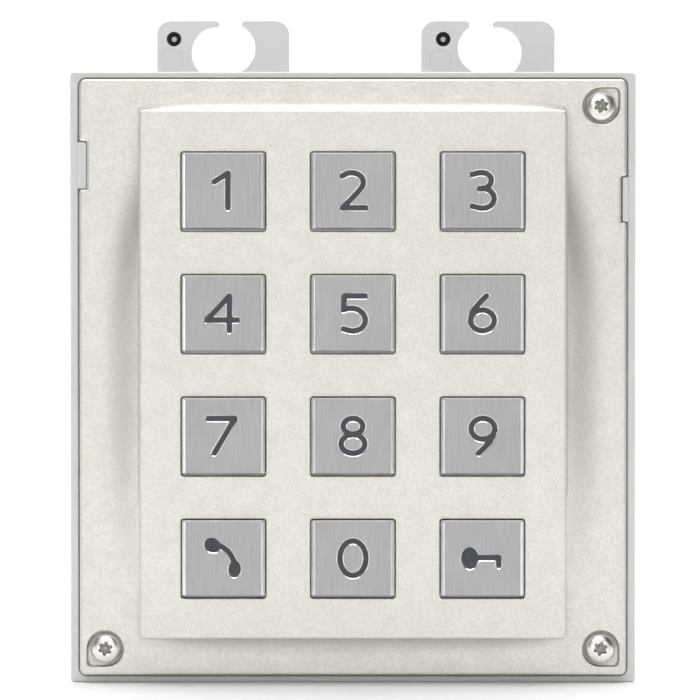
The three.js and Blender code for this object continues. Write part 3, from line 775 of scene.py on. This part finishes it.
def make_cap(name, steel, painted_highlight):
    """A key: an engraved face, bevels painted lighter as a highlight, sides, and a flange behind the plate.
    """
    (x0, y0, z0), (x1, y1, z1) = box_mm(f"key_{name}")
    middle = np.array(((x0 + x1) / 2, (z0 + z1) / 2))
    half_x = (x1 - x0) / 2 - KEY_FLANGE
    half_z = (z1 - z0) / 2 - KEY_FLANGE
    face = face_outline(half_x, half_z, 0.0)
    points, triangles, distance, sources = stroke_mesh(name, face, (0.0, GROOVE))
    share = np.clip(1 - distance / GROOVE, 0, 1)
    share[share < RIM_SHARE] = 0.0
    skin = Skin()
    skin.loop(points + middle, y0 + GROOVE_DEPTH * share)
    skin.faces += [tuple(triangle) for triangle in triangles]
    rim = [None] * len(face)
    for number, given in enumerate(sources):
        for source in given:
            if source < len(face):
                rim[source] = number
    rings = [rim]
    for width, depth in BEVEL_PROFILE:
        rings.append(skin.loop(face_outline(half_x, half_z, width) + middle, y0 + BEVEL_DEPTH * depth))
    sides = face_outline(half_x, half_z, 1.0)
    flange = offset(sides, KEY_FLANGE) + middle
    flange_y = y1 - FLANGE_THICKNESS
    rings += [skin.loop(sides + middle, flange_y), skin.loop(flange, flange_y), skin.loop(flange, y1)]
    skin.strip(rings)
    skin.fill(rings[-1])
    cap = skin.make(f"cap_{name}", steel, 35.0)
    crease(cap, middle, LEGEND_REACH, y0)
    # painted highlight: the bevel faces that lean forwards get the lighter steel
    cap.data.materials.append(painted_highlight)
    for polygon in cap.data.polygons:
        depth = polygon.center.y / MM - y0
        if BRIGHT_START < depth < BRIGHT_END and BRIGHT_LEAN[0] < polygon.normal.y < BRIGHT_LEAN[1]:
            polygon.material_index = 1
    settle(cap, f"key_{name}_body", "satin_steel", f"key_{name}")


def make_infill(name, resin):
    """The resin in a key's engraving: its strokes at two depths, closed round their edges."""
    (x0, y0, z0), (x1, _, z1) = box_mm(f"key_{name}")
    middle = np.array(((x0 + x1) / 2, (z0 + z1) / 2))
    grow = GROOVE * (1 - RESIN_DEPTH / GROOVE_DEPTH) + RESIN_OVERLAP
    points, triangles, _, _ = stroke_mesh(name, None, (grow,))
    inside = distance_to(LEGENDS[name], points[np.array(triangles)].mean(1)) < grow
    kept = [triangle for triangle, keep in zip(triangles, inside) if keep]
    used = sorted({i for triangle in kept for i in triangle})
    number = {i: k for k, i in enumerate(used)}
    front = [tuple(number[i] for i in triangle) for triangle in kept]
    skin = Skin()
    skin.loop(points[used] + middle, y0 + RESIN_DEPTH)
    skin.loop(points[used] + middle, y0 + GROOVE_DEPTH + RESIN_BACK)
    count = len(used)
    edges = [(a, b) for face in front for a, b in zip(face, face[1:] + face[:1])]
    paired = set(edges)
    skin.faces = front + [tuple(i + count for i in reversed(face)) for face in front]
    skin.faces += [(b, a, a + count, b + count) for a, b in edges if (b, a) not in paired]
    infill = skin.make(f"infill_{name}", resin, 40.0)
    settle(infill, f"key_{name}_body", "legend_resin", f"legend_{name}")


# ---------- screws

TURN = 0.35  # angle of the first lobe
AROUND = 72  # points round a screw
HEAD_HEIGHT, SHANK = 0.69, 0.49  # as shares of the head's radius
CROWN = 0.35  # how far the head is domed, as a share of its height
CROWN_START, CROWN_RADIUS = 0.4, 0.62  # of the dome's curve, as shares of the head's radius
DRIVE_DEPTH = 0.72  # of the six-lobe recess, as a share of the head's height
LOBE_MEAN, LOBE_SWING = 0.84, 0.16
DRIVE_PROFILE = [(0.93, None), (1.0, 0.25), (1.08, 0.1)]  # size, depth (none: the floor's)
PIN_PROFILE = [(0.22, 0.55), (0.34, 0.5), (0.38, 0.05), (0.42, 0.0)]  # radius, height above the floor
PIN_TOP = 0.58
CROWN_DROP = 0.06
HEAD_CHAMFER = 0.1
POINT_LENGTH = 0.7
CORNER_DRIVE, BOARD_DRIVE = 1.15, 0.8  # radius of the recess


def make_screw(node, material, dark, name, recess):
    """A pan head with a six-lobe recess and a centre pin, on a plain shank."""
    (x0, y0, z0), (x1, y1, z1) = box_mm(node)
    x, z = (x0 + x1) / 2, (z0 + z1) / 2
    head = (z1 - z0) / 2
    height = head * HEAD_HEIGHT
    shank = head * SHANK
    floor_y = y0 + height * DRIVE_DEPTH
    angles = TURN + np.arange(AROUND) * 2 * math.pi / AROUND
    lobes = LOBE_MEAN + LOBE_SWING * np.cos(6 * (angles - TURN))
    skin = Skin()

    def round_ring(radius, depth):
        return skin.loop(circle(x, z, radius, AROUND, TURN), depth)

    rings = [round_ring(recess * radius, floor_y - rise) for radius, rise in PIN_PROFILE]
    skin.dome(rings[0], x, z, floor_y - PIN_TOP)
    for size, depth in DRIVE_PROFILE:
        radius = recess * size * lobes
        outline = np.stack([x + radius * np.cos(angles), z + radius * np.sin(angles)], 1)
        rings.append(skin.loop(outline, floor_y if depth is None else y0 + depth))
    for share in np.linspace(0.5, 1.0, 9):
        across = (share - CROWN_START) / CROWN_RADIUS
        drop = CROWN * height * (1 - math.sqrt(max(0.0, 1 - across**2)))
        rings.append(round_ring(head * share, y0 + CROWN_DROP + drop))
    rings.append(round_ring(head, y0 + height - HEAD_CHAMFER))
    rings.append(round_ring(head - HEAD_CHAMFER, y0 + height))
    rings.append(round_ring(shank, y0 + height))
    rings.append(round_ring(shank, y1 - POINT_LENGTH))
    rings.append(round_ring(shank * 0.5, y1))
    skin.strip(rings)
    skin.dome(rings[-1], x, z, y1)
    screw = skin.make(name, material, 40.0)
    # painted shade: the recess behind the head's rim gets the darker recess steel
    paint_recess_shade(screw, dark, (x, z), recess * 1.02, y0 + 0.3)
    return settle(screw, "module", "bright_screw", node)


# ---------- housing

RIM_Y, LEDGE_Y, RIM_BACK_Y, REAR_WALL_Y = -15.0, -13.6, -11.0, -2.0
RIM_CORNER, RIM_EDGE, RIM_CHAMFER = 0.7, 0.35, 0.2
RIM_INSIDE_X, RIM_INSIDE_Z, RIM_INSIDE_CORNER = 46.85, 51.05, 1.4
LIP = 0.15  # chamfer inside the rim
BODY_X, BODY_Z, BODY_CORNER, BODY_EDGE = 45.2, 49.05, 3.0, 0.8
INSIDE_X, INSIDE_Z, INSIDE_CORNER = 43.2, 47.05, 5.0
POCKET_TOP, POCKET_Y = -39.5, -6.2  # pockets at the foot, for the ears of a module below
POCKET_WALL = 1.2
POCKET_ROOM = 1.0  # beside an ear
POCKET_MOUTH, POCKET_HEAD, POCKET_LEAN = 0.9, 0.3, 0.08  # corner radii, and how far the sides lean
WINDOW_ROOM, WINDOW_CORNER, WINDOW_CHAMFER = 0.5, 0.8, 0.2
LABEL = (-22.0, 22.0, -25.0, -7.0)
LABEL_CORNER, LABEL_DEPTH, LABEL_CHAMFER = 1.5, 0.3, 0.1
POST_RADIUS, POST_BORE, POST_Y, POST_BORE_Y = 1.7, 0.9, -10.7, -3.0

EAR_TOP, EAR_FOOT, EAR_FRONT, EAR_BACK = 61.3, 48.0, -5.0, -1.5
EAR_CORNER, EAR_TIP, EAR_EDGE = 2.4, 0.5, 0.12
EYE_Z, EYE_RADIUS, EYE_RUN, EYE_SLOPE = 56.2, 4.38, 1.17, 0.3
EAR_HOLE_Z, MARK_Z = 58.15, 54.55
EAR_HOLE_PROFILE = [(1.35, 0.0), (1.25, 0.1), (1.2, 2.4), (0.62, 2.4), (0.58, 1.2), (0.45, 1.05)]
MARK_PROFILE = [(1.98, 0.0), (1.88, 0.12), (1.72, 0.12), (1.64, 0.05)]  # radius, depth
EARS = [
    {"name": "left", "x": -22.4, "x0": -33.8, "x1": -11.0, "neck": (-23.15, -19.2), "tilt": 1,
     "hole": -30.9, "mark": -31.2},
    {"name": "right", "x": 23.7, "x0": 11.85, "x1": 34.85, "neck": (20.1, 24.3), "tilt": -1,
     "hole": 15.6, "mark": 15.1},
]

PLATE_HALF_X = 46.5
LATCH_GAP = {1: 0.25, -1: 0.12}  # to the notch's foot, on each side
LATCH_CLEARANCE = 0.15  # to the notch's ends
LATCH_RADIUS, LATCH_EDGE = 0.2, 0.15
LATCH_FRONT, LATCH_BACK = -16.2, -13.5


def foot_outline(half_x, half_z, corner, wall):
    """The housing's outline, with a pocket at the foot for each ear of a module below."""
    corners = [(-half_x, -half_z, corner)]
    top = POCKET_TOP + wall
    for ear in EARS:
        x0 = ear["x0"] - POCKET_ROOM - wall
        x1 = ear["x1"] + POCKET_ROOM + wall
        corners += [
            (x0, -half_z, POCKET_MOUTH),
            (x0 + POCKET_LEAN, top, POCKET_HEAD),
            (x1 - POCKET_LEAN, top, POCKET_HEAD),
            (x1, -half_z, POCKET_MOUTH),
        ]
    corners += [(half_x, -half_z, corner), (half_x, half_z, corner), (-half_x, half_z, corner)]
    return rounded(corners)


def without_pockets(outline, half_x, half_z, corner):
    """The same number of points, with those of the pockets brought down to the foot."""
    plain = outline.copy()
    in_pocket = (np.abs(plain[:, 0]) < half_x - corner - 0.01) & (plain[:, 1] < 0)
    plain[in_pocket, 1] = -half_z
    return plain


def housing_rim(skin):
    """The rim that the plate lies in; returns the loops of its ledge and of its back."""
    half_x, half_z = box_mm("rear_housing")[1][0], -box_mm("rear_housing")[0][2]
    rim = rectangle(-half_x, half_x, -half_z, half_z, RIM_CORNER)
    plate = rectangle(-RIM_INSIDE_X, RIM_INSIDE_X, -RIM_INSIDE_Z, RIM_INSIDE_Z, RIM_INSIDE_CORNER)
    inner = [skin.loop(plate, LEDGE_Y), skin.loop(plate, RIM_Y + LIP), skin.loop(offset(plate, LIP), RIM_Y)]
    skin.strip(inner)
    outer = skin.front_edge(rim, RIM_Y, RIM_EDGE, 4)
    outer.append(skin.loop(rim, RIM_BACK_Y - RIM_CHAMFER))
    outer.append(skin.loop(offset(rim, -RIM_CHAMFER), RIM_BACK_Y))
    skin.strip(outer)
    skin.fill(outer[0], [inner[-1]])
    return inner[0], outer[-1]


def socket_window(skin, socket):
    """A window in the rear wall; returns its outer and inner loops."""
    (x0, _, z0), (x1, _, z1) = box_mm(socket)
    window = rectangle(x0 - WINDOW_ROOM, x1 + WINDOW_ROOM, z0 - WINDOW_ROOM, z1 + WINDOW_ROOM, WINDOW_CORNER)
    loops = [
        skin.loop(offset(window, WINDOW_CHAMFER), 0.0),
        skin.loop(window, -WINDOW_CHAMFER),
        skin.loop(window, REAR_WALL_Y),
    ]
    skin.strip(loops)
    return loops[0], loops[-1]


def board_post(skin, corner):
    """A hollow post for a board screw; returns the loop round its foot."""
    x, _, z = centre_mm(f"board_screw_{corner}")
    profile = [(POST_RADIUS, REAR_WALL_Y), (POST_RADIUS, POST_Y)]
    profile += [(POST_BORE, POST_Y), (POST_BORE, POST_BORE_Y)]
    loops = [skin.loop(circle(x, z, radius, 24), y) for radius, y in profile]
    skin.strip(loops)
    skin.fill(loops[-1])
    return loops[0]


def make_housing(material):
    """The rear tray: rim, walls with pockets at the foot, windows, label recess and posts."""
    skin = Skin()
    ledge, rim_back = housing_rim(skin)
    body = foot_outline(BODY_X, BODY_Z, BODY_CORNER, 0.0)
    plain = without_pockets(body, BODY_X, BODY_Z, BODY_CORNER)
    walls = [skin.loop(plain, RIM_BACK_Y), skin.loop(plain, POCKET_Y), skin.loop(body, POCKET_Y)]
    walls += skin.back_edge(body, 0.0, BODY_EDGE, 4)
    skin.strip(walls)
    skin.fill(rim_back, [walls[0]])
    windows = [socket_window(skin, f"bus_socket_{side}") for side in ("left", "right")]
    label = rectangle(*LABEL, LABEL_CORNER)
    recess = [
        skin.loop(offset(label, LABEL_CHAMFER), 0.0),
        skin.loop(label, -LABEL_CHAMFER),
        skin.loop(label, -LABEL_DEPTH),
    ]
    skin.strip(recess)
    skin.fill(recess[-1])
    skin.fill(walls[-1], [outer for outer, _ in windows] + [recess[0]])
    inside = foot_outline(INSIDE_X, INSIDE_Z, INSIDE_CORNER, POCKET_WALL)
    flat = without_pockets(inside, INSIDE_X, INSIDE_Z, INSIDE_CORNER)
    shelf_y = POCKET_Y - POCKET_WALL
    hollow = [skin.loop(inside, REAR_WALL_Y), skin.loop(inside, shelf_y)]
    hollow += [skin.loop(flat, shelf_y), skin.loop(flat, LEDGE_Y)]
    skin.strip(hollow)
    posts = [board_post(skin, corner) for corner in QUADRANTS]
    skin.fill(hollow[0], [inner for _, inner in windows] + posts)
    skin.fill(ledge, [hollow[-1]])
    return settle(skin.make("housing_tray", material, 40.0), "module", "grey_plastic", "rear_housing")


def arc(x, z, radius, start, end, count):
    """Points along an arc between two angles."""
    return [(x + radius * math.cos(a), z + radius * math.sin(a)) for a in np.linspace(start, end, count)]


def eye_top(ends, x):
    """Height of the upper edge of an ear's eye, a slot between two end points, at x."""
    best = 0.0
    for share in np.linspace(0, 1, 21):
        middle_x, middle_z = ends[0] + (ends[1] - ends[0]) * share
        if abs(x - middle_x) < EYE_RADIUS:
            best = max(best, middle_z + math.sqrt(EYE_RADIUS**2 - (x - middle_x) ** 2))
    return best


def ear_outline(ear):
    """An ear with its eye, which opens upwards through a neck."""
    x, x0, x1 = ear["x"], ear["x0"], ear["x1"]
    neck_left, neck_right = ear["neck"]
    rise = ear["tilt"] * EYE_SLOPE * EYE_RUN
    ends = [np.array((x - EYE_RUN, EYE_Z - rise)), np.array((x + EYE_RUN, EYE_Z + rise))]
    up, left = math.pi / 2, math.pi
    first = math.atan2(eye_top(ends, neck_left) - ends[0][1], neck_left - ends[0][0])
    last = math.atan2(eye_top(ends, neck_right) - ends[1][1], neck_right - ends[1][0])
    along = math.atan2(*(ends[1] - ends[0])[::-1])
    eye = arc(*ends[0], EYE_RADIUS, first, along + 1.5 * math.pi, 30)
    eye += arc(*ends[1], EYE_RADIUS, along - 0.5 * math.pi, last, 30)
    corner_z, tip_z = EAR_TOP - EAR_CORNER, EAR_TOP - EAR_TIP
    outline = [(x0, EAR_FOOT), (x1, EAR_FOOT)]
    outline += arc(x1 - EAR_CORNER, corner_z, EAR_CORNER, 0, up, 12)
    outline += arc(neck_right + EAR_TIP, tip_z, EAR_TIP, up, left, 8)
    outline += eye[::-1]
    outline += arc(neck_left - EAR_TIP, tip_z, EAR_TIP, 0, up, 8)
    outline += arc(x0 + EAR_CORNER, corner_z, EAR_CORNER, up, left, 12)
    return np.array(outline)


def turned_recess(skin, x, z, profile, count):
    """A round recess in an ear's front, from its radii and depths; returns the loop of its rim."""
    loops = [skin.loop(circle(x, z, radius, count), EAR_FRONT + depth) for radius, depth in profile]
    skin.strip(loops)
    skin.fill(loops[-1])
    return loops[0]


def make_ear(ear, material, dark):
    """A hook ear with a blind hole, which has a pale pin in it, and a round mark below."""
    outline = ear_outline(ear)
    skin = Skin()
    rings = skin.front_edge(outline, EAR_FRONT, EAR_EDGE, 3)
    rings += skin.back_edge(outline, EAR_BACK, EAR_EDGE, 3)
    skin.strip(rings)
    hole = turned_recess(skin, ear["hole"], EAR_HOLE_Z, EAR_HOLE_PROFILE, 32)
    mark = turned_recess(skin, ear["mark"], MARK_Z, MARK_PROFILE, 40)
    skin.fill(rings[0], [hole, mark])
    skin.fill(rings[-1])
    piece = skin.make(f"ear_{ear['name']}", material, 40.0)
    # painted shade: the inside of the blind hole gets the near-black shaded plastic, all but the pin's pale
    # tip
    paint_recess_shade(piece, dark, (ear["hole"], EAR_HOLE_Z), 1.3, EAR_FRONT + 0.06)
    for polygon in piece.data.polygons:
        x, y, z = (c / MM for c in polygon.center)
        if y < EAR_FRONT + 1.3 and math.hypot(x - ear["hole"], z - EAR_HOLE_Z) < 0.5:
            polygon.material_index = 0
    return settle(piece, "module", "grey_plastic")


def make_latch(side, z, length, depth, material):
    """A latch that reaches from the rim over the foot of a notch in the plate."""
    inner = PLATE_HALF_X - depth + LATCH_GAP[side]
    half = length / 2 - LATCH_CLEARANCE
    x0, x1 = sorted((side * inner, side * RIM_INSIDE_X))
    skin = Skin()
    shape = rectangle(x0, x1, z - half, z + half, LATCH_RADIUS)
    rings = skin.front_edge(shape, LATCH_FRONT, LATCH_EDGE, 3)
    rings.append(skin.loop(shape, LATCH_BACK))
    skin.strip(rings)
    skin.fill(rings[0])
    skin.fill(rings[-1])
    name = "latch_right" if side > 0 else "latch_left"
    return settle(skin.make(name, material, 40.0), "module", "grey_plastic")


# ---------- stage and light

STAGE_FRONT, STAGE_BACK = -900.0, 500.0
STAGE_HALF, STAGE_HEIGHT, SWEEP_RADIUS = 1500.0, 1200.0, 300.0
STAGE_GAP = 0.02  # below the housing's foot
MODULE = (0, -15, 0)
LIGHTS = [  # name, place, width and height, brightness, what it points at
    ("front_upper", (-60, -900, 420), (620, 560), 1.8, MODULE),
    ("front_lower", (0, -1000, -120), (620, 420), 1.5, MODULE),
    ("top", (0, -260, 620), (900, 420), 1.0, MODULE),
    ("floor", (0, 60, 780), (1100, 460), 4.0, (0, -380, -52)),
    ("left", (-900, -500, 100), (900, 900), 0.1, MODULE),
    ("left_strip", (-800, -20, 60), (180, 800), 1.6, MODULE),
    ("right_strip", (800, -20, 60), (180, 800), 1.1, MODULE),
    ("backdrop", (0, 250, 600), (1600, 300), 3.5, (0, 800, 60)),
]


def make_stage():
    """A pale floor under the module that sweeps up into a backdrop."""
    floor_z = box_mm("rear_housing")[0][2] - STAGE_GAP
    profile = [(STAGE_FRONT, floor_z), (STAGE_BACK, floor_z)]
    for a in quarter(16)[1:]:
        profile.append((STAGE_BACK + SWEEP_RADIUS * math.sin(a), floor_z + SWEEP_RADIUS * (1 - math.cos(a))))
    profile.append((STAGE_BACK + SWEEP_RADIUS, floor_z + STAGE_HEIGHT))
    mesh = bpy.data.meshes.new("sweep")
    points = [(x * MM, y * MM, z * MM) for y, z in profile for x in (-STAGE_HALF, STAGE_HALF)]
    faces = [(2 * i, 2 * i + 1, 2 * i + 3, 2 * i + 2) for i in range(len(profile) - 1)]
    mesh.from_pydata(points, [], faces)
    for polygon in mesh.polygons:
        polygon.use_smooth = True
    material, _, _ = shader_nodes("pale_paper", (0.96, 0.96, 0.96), 0.9)
    mesh.materials.append(material)
    sweep = bpy.data.objects.new("sweep", mesh)
    bpy.context.scene.collection.objects.link(sweep)


def area_light(name, place_mm, size_mm, brightness, target_mm):
    """A soft box whose face has the given brightness, white being 1."""
    data = bpy.data.lights.new(name, "AREA")
    data.shape = "RECTANGLE"
    data.size, data.size_y = (s * MM for s in size_mm)
    data.energy = brightness * math.pi * data.size * data.size_y
    lamp = bpy.data.objects.new(name, data)
    lamp.location = Vector(place_mm) * MM
    aim = Vector(target_mm) - Vector(place_mm)
    lamp.rotation_euler = aim.to_track_quat("-Z", "Y").to_euler()
    bpy.context.scene.collection.objects.link(lamp)


def make_light():
    """The soft boxes, and a faint warm light from all round."""
    world = bpy.data.worlds.new("studio")
    world.use_nodes = True
    background = world.node_tree.nodes["Background"]
    background.inputs["Color"].default_value = (1.0, 0.93, 0.82, 1.0)
    background.inputs["Strength"].default_value = 0.09
    bpy.context.scene.world = world
    for light in LIGHTS:
        area_light(*light)
    view = bpy.context.scene.view_settings
    view.view_transform = "Standard"
    view.look = "None"


# ---------- assembly

INSIDE_FINISHES = {  # colour and roughness of what lies behind the plate
    "black_rubber": ((0.03, 0.03, 0.03), 0.7),
    "silicone": ((0.75, 0.77, 0.75), 0.55),
    "carbon_rubber": ((0.015, 0.015, 0.016), 0.6),
    "board_laminate": ((0.03, 0.13, 0.07), 0.4),
    "led_resin": ((0.85, 0.82, 0.65), 0.2),
    "socket_plastic": ((0.78, 0.74, 0.64), 0.45),
    "chip_plastic": ((0.02, 0.02, 0.02), 0.5),
}

make_camera()
make_stage()
make_light()

nickel = cast_nickel()
key_steel = brushed_steel("key_steel", (0.42, 0.415, 0.42), 0.32, "z")
screw_steel = brushed_steel("screw_steel", (0.86, 0.85, 0.82), 0.25, "x")
# lighter steel painted onto the key bevels as a highlight
bevel_highlight_steel = brushed_steel("bevel_highlight_steel", (0.86, 0.86, 0.87), 0.22, "z")
# darker steel painted into the screws' recesses as shade
recess_shade_steel = brushed_steel("recess_shade_steel", (0.50, 0.48, 0.44), 0.5, "x")
resin = legend_resin()
grey = moulded_plastic("grey_plastic", (0.80, 0.80, 0.805), 0.5)
# near-black plastic painted into the ears' blind holes as shade
shaded = moulded_plastic("shaded_plastic", (0.10, 0.10, 0.105), 0.6)
inside_finishes = {
    name: moulded_plastic(name, colour, roughness) for name, (colour, roughness) in INSIDE_FINISHES.items()
}

make_plate(nickel)
for key in KEYS:
    make_cap(key, key_steel, bevel_highlight_steel)
    make_infill(key, resin)
for corner in SCREWED:
    make_screw(f"corner_screw_{corner}", screw_steel, recess_shade_steel, f"screw_{corner}", CORNER_DRIVE)
for corner in QUADRANTS:
    make_screw(f"board_screw_{corner}", screw_steel, recess_shade_steel, f"inner_screw_{corner}", BOARD_DRIVE)
make_housing(grey)
for ear in EARS:
    make_ear(ear, grey, shaded)
for notch in NOTCHES:
    make_latch(*notch, grey)

for part in frame["record"]["subparts"]:
    finish = inside_finishes.get(part["material_slot"])
    if finish:
        mesh = nodes[part["node"]].data
        mesh.materials.clear()
        mesh.materials.append(finish)
        soften(nodes[part["node"]])
